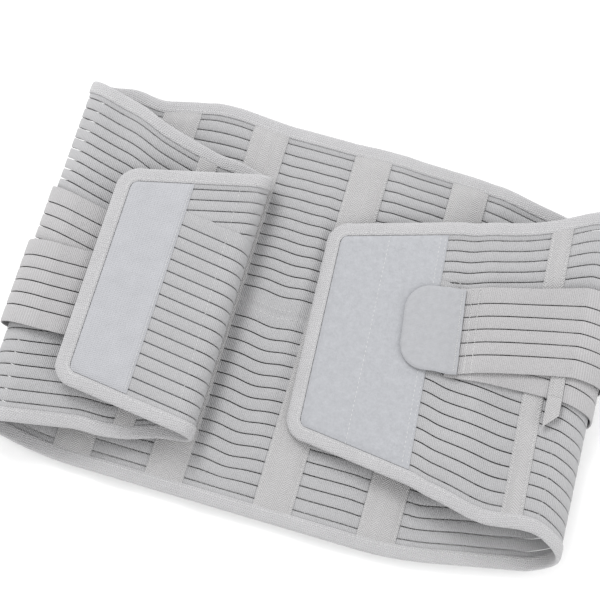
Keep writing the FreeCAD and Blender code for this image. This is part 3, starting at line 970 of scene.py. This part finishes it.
def make_side_tape(side):
    """A narrow tape sewn down the outer face between the bindings."""
    body = f"{name_of(side)}_front"
    drawing = Drawing(f"{name_of(side)}_cross_tape", side, "twill_tape")
    half = SIDE_TAPE_WIDTH / 2
    section = ((-1.0, 0.0016), (-0.85, 0.0021), (0.0, 0.0023), (0.85, 0.0021), (1.0, 0.0016))
    reach = half_height(SIDE_TAPE_PLACE) - BINDING_WIDTH + 0.002
    steps = 70

    def shape(step, share, face):
        v = reach * (2 * step / steps - 1)
        out, top = section[share]
        s = SIDE_TAPE_PLACE + out * half
        if face > 0:
            return s, v, -WEBBING_HALF * 0.8
        return s, v, -(top + (0.0018 - top) * smooth(reach - 0.006, reach, abs(v)))

    drawing.slab(steps, len(section) - 1, shape)
    for place in (-half + 0.0016, half - 0.0016):
        drawing.sew_across(-reach + 0.005, reach - 0.005,
                           lambda v: SIDE_TAPE_PLACE + place, -0.0021)
    piece = drawing.lay()
    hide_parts(f"{name_of(side)}_side_tape")
    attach(piece, body)


def panel_far(v):
    """Where a panel ends at a height v: square, with the binding's rounded corners."""
    corner_v = half_height(HALF_LENGTH - CORNER_RADIUS) - CORNER_RADIUS
    inner = CORNER_RADIUS - BINDING_WIDTH
    past = min(inner, max(0.0, abs(v) - corner_v))
    return HALF_LENGTH - CORNER_RADIUS + math.sqrt(inner * inner - past * past)


def make_panel(side, slot, width, face_sign, top, body):
    """A fastening panel just inside the end binding, pressed down along its border."""
    drawing = Drawing(f"{name_of(side)}_{slot}_patch", side, slot)
    lean = LOOP_PANEL_LEAN if slot == "loop" else 0.0

    def near_edge(v):
        return HALF_LENGTH - BINDING_WIDTH - width + lean * (v - 0.06)

    near = near_edge(0.0)
    along = 36
    across = 60
    border = 0.0004

    def shape(step, share, face):
        u = step / along
        w = 2 * share / across - 1
        u -= 0.02 * math.sin(2 * math.pi * u)
        s = near + (HALF_LENGTH - BINDING_WIDTH - near) * u
        v = w * (half_height(s) - BINDING_WIDTH - border)
        start = near_edge(v)
        s = start + (panel_far(v) - border - start) * u
        v = w * (half_height(s) - BINDING_WIDTH - border)
        if face * face_sign < 0:
            return s, v, face_sign * WEBBING_HALF * 0.8
        edge = min(s - start, panel_far(v) - border - s,
                   half_height(s) - BINDING_WIDTH - border - abs(v))
        return s, v, face_sign * (0.0016 + (top - 0.0016) * smooth(0.0, 0.0026, edge))

    drawing.slab(along, across, shape)
    height = half_height(near) - BINDING_WIDTH - 0.003
    level = face_sign * top
    if slot == "loop":
        drawing.sew_across(-height + 0.004, height - 0.004, lambda v: LOOP_PANEL_SEAM, level)
        drawing.sew_across(-height, height, lambda v: near_edge(v) + 0.0015, face_sign * 0.0022)
        drawing.sew_across(-height, height, lambda v: near_edge(v) + 0.0048, level)
        drawing.sew_across(-height, height, lambda v: near_edge(v) + 0.0015,
                           -face_sign * WEBBING_HALF)
    else:
        drawing.sew_across(-height, height, lambda v: near + 0.0016, face_sign * 0.0022, 0.5)
    piece = drawing.lay()
    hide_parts(f"{name_of(side)}_{slot}_panel")
    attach(piece, body)


def strap_level(side, strap, s):
    """The level of a strap: it comes down to the tab at its end."""
    if side is RIGHT:
        drop = 0.0017 if strap is RIGHT_UPPER else 0.0006
        return strap.level + drop * smooth(0.298, 0.316, s)
    return strap.level


def make_strap(side, strap, word, part, start, end, bend, nodes):
    drawing = Drawing(f"{name_of(side)}_{word}_pull_{part}", side, "strap")
    for near, far in bands_of(STRAP_FIRST_SLOT, STRAP_PITCH, STRAP_SLOTS, 0.0, STRAP_WIDTH):
        high_share = 1 - near / STRAP_WIDTH
        low_share = 1 - far / STRAP_WIDTH
        drawing.band(start, end, lambda s: strap.across(s, low_share),
                     lambda s: strap.across(s, high_share),
                     lambda s: strap_level(side, strap, s), STRAP_HALF, STRAP_HALF * 0.6)
    if part == "root":
        for place in (0.006, 0.012):
            for level in (strap.level - STRAP_HALF, strap.level + STRAP_HALF):
                drawing.sew_across(strap.middle(place) - 0.027, strap.middle(place) + 0.027,
                                   lambda v: place, level)
    if part == "tip" and side is RIGHT:
        for place in (0.3130, 0.3085):
            middle = strap.middle(place)
            drawing.sew_across(middle - 0.028, middle + 0.028,
                               lambda v: place - (v - middle) * TAB_SLOPE,
                               strap_level(side, strap, place) - STRAP_HALF - 0.0001, ZIGZAG)
    piece = drawing.lay()
    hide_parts(*nodes)
    bend(side, piece, strap.level)


def bend_pull(side, piece, n):
    start = side.folded(PULL_BEND_START, 0.0, n)
    end = side.folded(PULL_BEND_END, 0.0, n)
    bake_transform(piece)


def make_tab(side, start, straps, levels, body):
    """A moulded tab with rounded corners at its free end and a thin lip all round."""
    drawing = Drawing(f"{name_of(side)}_grip_tab", side, "tab")
    middle = (straps[0].middle(start) + straps[1].middle(start)) / 2
    half = STRAP_WIDTH / 2
    along = 24
    across = 24
    angle = math.atan(TAB_SLOPE)

    def shape(step, share, face):
        u = math.sin(math.pi / 2 * step / along)
        out = TAB_LENGTH * u
        past = min(TAB_CORNER, max(0.0, out - (TAB_LENGTH - TAB_CORNER)))
        reach = half - TAB_CORNER + math.sqrt(TAB_CORNER ** 2 - past * past)
        w = math.sin(math.pi / 2 * (2 * share / across - 1))
        up = reach * w
        s = start + out * math.cos(angle) - up * math.sin(angle)
        v = middle + out * math.sin(angle) + up * math.cos(angle)
        edge = min(TAB_LENGTH - out, reach - abs(up), out + 0.0008)
        thick = 0.0005 + 0.0006 * smooth(0.0, 0.0012, edge)
        centre = levels[1] + (levels[0] - levels[1]) * (1 - smooth(0.0, 0.013, out))
        return s, v, centre + face * thick

    drawing.slab(along, across, shape)
    drawing.sew_across(middle - half + 0.002, middle + half - 0.002,
                       lambda v: start + 0.0022 - (v - middle) * TAB_SLOPE,
                       levels[0] - 0.0011, ZIGZAG)
    piece = drawing.lay()
    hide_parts(f"{name_of(side)}_pull_tab")
    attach(piece, body)


def make_keeper(side, shift):
    """The loop of tape over the lower strap; its tail is folded to a point."""
    drawing = Drawing(f"{name_of(side)}_strap_keeper", side, "keeper")
    half = KEEPER_WIDTH / 2
    spread = (-1.0, -0.85, 0.0, 0.85, 1.0)
    steps = 30

    def draw(low, high, slant, level, thick):
        def shape(step, share, face):
            s = KEEPER_PLACE + spread[share] * half
            mitre = (1 - spread[share]) / 2 * KEEPER_WIDTH * slant
            v = low + mitre + (high - low - mitre) * step / steps
            rim = 0.7 if abs(spread[share]) > 0.99 else 1.0
            return s, v, level + face * thick * rim
        drawing.slab(steps, len(spread) - 1, shape)

    draw(KEEPER_LOW + shift, KEEPER_HIGH + shift, 1.0, KEEPER_LEVEL, 0.0004)
    draw(KEEPER_LOW + shift, KEEPER_LOW + shift + 0.020, 1.0, KEEPER_LEVEL - 0.0008, 0.00035)
    for place in (-half + 0.0015, half - 0.0015):
        drawing.sew_across(KEEPER_LOW + shift + 0.013, KEEPER_HIGH + shift - 0.002,
                           lambda v: KEEPER_PLACE + place, KEEPER_LEVEL - 0.0009)
    piece = drawing.lay()
    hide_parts(f"{name_of(side)}_keeper")
    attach(piece, f"{name_of(side)}_front")


# Operators

class BELT_OT_webbing(bpy.types.Operator):
    """Make the slotted strips of elastic webbing"""
    bl_idname = "belt.webbing"
    bl_label = "Webbing"

    def execute(self, context):
        for stretch in STRETCHES:
            make_lower_webbing(stretch)
            make_upper_webbing(stretch)
        return {"FINISHED"}


class BELT_OT_bindings(bpy.types.Operator):
    """Bind the belt's edges and its two rounded ends"""
    bl_idname = "belt.bindings"
    bl_label = "Edge bindings"

    def execute(self, context):
        for stretch in STRETCHES:
            make_binding(stretch)
        return {"FINISHED"}


class BELT_OT_stay_tapes(bpy.types.Operator):
    """Sew the four stay tapes to the back and finish the stays inside them"""
    bl_idname = "belt.stay_tapes"
    bl_label = "Stay tapes"

    def execute(self, context):
        for number in range(1, 5):
            make_stay_tape(number)
            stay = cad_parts[f"stay_{number}"]
            stay.data.materials.clear()
            stay.data.materials.append(finish_of("stay"))
        return {"FINISHED"}


class BELT_OT_side_tapes(bpy.types.Operator):
    """Sew a narrow tape across each front"""
    bl_idname = "belt.side_tapes"
    bl_label = "Side tapes"

    def execute(self, context):
        for side in (RIGHT, LEFT):
            make_side_tape(side)
        return {"FINISHED"}


class BELT_OT_panels(bpy.types.Operator):
    """Sew on the loop panels and the hook panel"""
    bl_idname = "belt.panels"
    bl_label = "Loop and hook panels"

    def execute(self, context):
        make_panel(RIGHT, "loop", LOOP_PANEL_WIDTH, -1, 0.0027, "right_front")
        make_panel(LEFT, "loop", LOOP_PANEL_WIDTH, -1, 0.0027, "left_end")
        make_panel(LEFT, "hook", HOOK_PANEL_WIDTH, 1, 0.0026, "left_end")
        return {"FINISHED"}


class BELT_OT_straps(bpy.types.Operator):
    """Lay the upper and lower pull straps of both sides"""
    bl_idname = "belt.straps"
    bl_label = "Pull straps"

    def execute(self, context):
        for side, upper, lower in ((RIGHT, RIGHT_UPPER, RIGHT_LOWER),
                                   (LEFT, LEFT_UPPER, LEFT_LOWER)):
            name = name_of(side)
            split = PULL_SPLIT if side is RIGHT else LEFT_SPLIT
            tip = RIGHT_TAB_START + 0.006 if side is RIGHT else LEFT_TAB_START - 0.003
            tip_node = "right_pull" if side is RIGHT else "left_end"
            for strap, word in ((upper, "upper"), (lower, "lower")):
                make_strap(side, strap, word, "root", STRAP_START, side.fold_middle, bend_back,
                           [f"back_{name}_{word}_strap", f"{name}_fold_{word}_strap"])
                make_strap(side, strap, word, "run", side.fold_middle, split, bend_front,
                           [f"{name}_front_{word}_strap"])
                make_strap(side, strap, word, "tip", split, tip,
                           bend_pull if side is RIGHT else bend_roll,
                           [f"{tip_node}_{word}_strap"])
        return {"FINISHED"}


class BELT_OT_tabs(bpy.types.Operator):
    """Make the pull tabs and the strap keepers"""
    bl_idname = "belt.tabs"
    bl_label = "Tabs and keepers"

    def execute(self, context):
        make_tab(RIGHT, RIGHT_TAB_START, (RIGHT_UPPER, RIGHT_LOWER), (-0.0060, -0.0044),
                 "right_pull")
        make_tab(LEFT, LEFT_TAB_START, (LEFT_UPPER, LEFT_LOWER), (-0.0048, -0.0044), "left_end")
        make_keeper(RIGHT, 0.0)
        make_keeper(LEFT, LEFT_LOWER.middle(KEEPER_PLACE) - 0.008)
        return {"FINISHED"}


class BELT_OT_stage(bpy.types.Operator):
    """Set up the floor, the lights and the camera"""
    bl_idname = "belt.stage"
    bl_label = "Stage"

    def execute(self, context):
        make_floor()
        make_lights()
        make_camera()
        return {"FINISHED"}


def make_floor():
    mesh = bmesh.new()
    bmesh.ops.create_grid(mesh, x_segments=4, y_segments=4, size=4.0,
                          matrix=Matrix.Translation((0, 0, -0.0004)))
    data = bpy.data.meshes.new("floor")
    mesh.to_mesh(data)
    mesh.free()
    finish = Finish("pale_floor", roughness=0.9)
    place = finish.node("ShaderNodeTexCoord", {}, {}, 3)
    cloudy = finish.mottle(place, 2.0)
    finish.set("Base Color", finish.tint(bpy.context.scene.belt_studio.floor,
                                         0.99 + cloudy * 0.02))
    data.materials.append(finish.material)
    add_object("floor", data)


def make_light(name, power, size, place, target):
    data = bpy.data.lights.new(name, "AREA")
    data.energy = power
    data.shape = "DISK"
    data.size = size
    light = add_object(name, data)
    light.location = place
    light.rotation_euler = (Vector(target) - Vector(place)).to_track_quat("-Z", "Y").to_euler()


def make_lights():
    studio = bpy.context.scene.belt_studio
    make_light("key_light", studio.key_power, 1.1, (-0.9, 1.2, 1.7), (0, 0, 0))
    make_light("fill_light", studio.fill_power, 1.5, (1.4, -0.8, 1.2), (0, 0, 0))
    world = bpy.data.worlds.new("white_room")
    world.use_nodes = True
    world.node_tree.nodes["Background"].inputs["Strength"].default_value = studio.surround
    world.node_tree.nodes["Background"].inputs["Color"].default_value = (1.0, 1.0, 1.0, 1.0)
    bpy.context.scene.world = world
    bpy.context.scene.view_settings.view_transform = "Standard"


def make_camera():
    """The camera stands in front of the belt, high up and a little to the right."""
    azimuth = math.radians(16.25)
    elevation = math.radians(76.81)
    target = Vector((-0.0113, 0.0144, 0.0106))
    back = Vector((math.sin(azimuth) * math.cos(elevation),
                   -math.cos(azimuth) * math.cos(elevation), math.sin(elevation)))
    data = bpy.data.cameras.new("camera")
    data.lens = 74.08
    data.sensor_width = 36.0
    data.clip_end = 20.0
    camera = add_object("camera", data)
    camera.location = target + back * 0.8108
    camera.rotation_euler = (-back).to_track_quat("-Z", "Y").to_euler()
    bpy.context.scene.camera = camera


class BELT_PT_panel(bpy.types.Panel):
    bl_label = "Lumbar support belt"
    bl_idname = "BELT_PT_panel"
    bl_space_type = "VIEW_3D"
    bl_region_type = "UI"
    bl_category = "Belt"

    def draw(self, context):
        for group in [getattr(context.scene, name) for name in GROUPS]:
            box = self.layout.box()
            for name in group.bl_rna.properties.keys():
                if name not in ("rna_type", "name"):
                    box.prop(group, name)
        for operator in OPERATORS:
            self.layout.operator(operator.bl_idname)


OPERATORS = (BELT_OT_webbing, BELT_OT_bindings, BELT_OT_stay_tapes, BELT_OT_side_tapes,
             BELT_OT_panels, BELT_OT_straps, BELT_OT_tabs, BELT_OT_stage)
GROUPS = {"belt_sizes": BeltSizes, "belt_colours": BeltColours, "belt_studio": BeltStudio}
CLASSES = (*GROUPS.values(), *OPERATORS, BELT_PT_panel)


def register():
    for one in CLASSES:
        bpy.utils.register_class(one)
    for name, group in GROUPS.items():
        setattr(bpy.types.Scene, name, bpy.props.PointerProperty(type=group))


def unregister():
    for name in GROUPS:
        delattr(bpy.types.Scene, name)
    for one in reversed(CLASSES):
        bpy.utils.unregister_class(one)


def main():
    register()
    bpy.ops.belt.webbing()
    bpy.ops.belt.bindings()
    bpy.ops.belt.stay_tapes()
    bpy.ops.belt.side_tapes()
    bpy.ops.belt.panels()
    bpy.ops.belt.straps()
    bpy.ops.belt.tabs()
    bpy.ops.belt.stage()


if __name__ == "__main__":
    main()
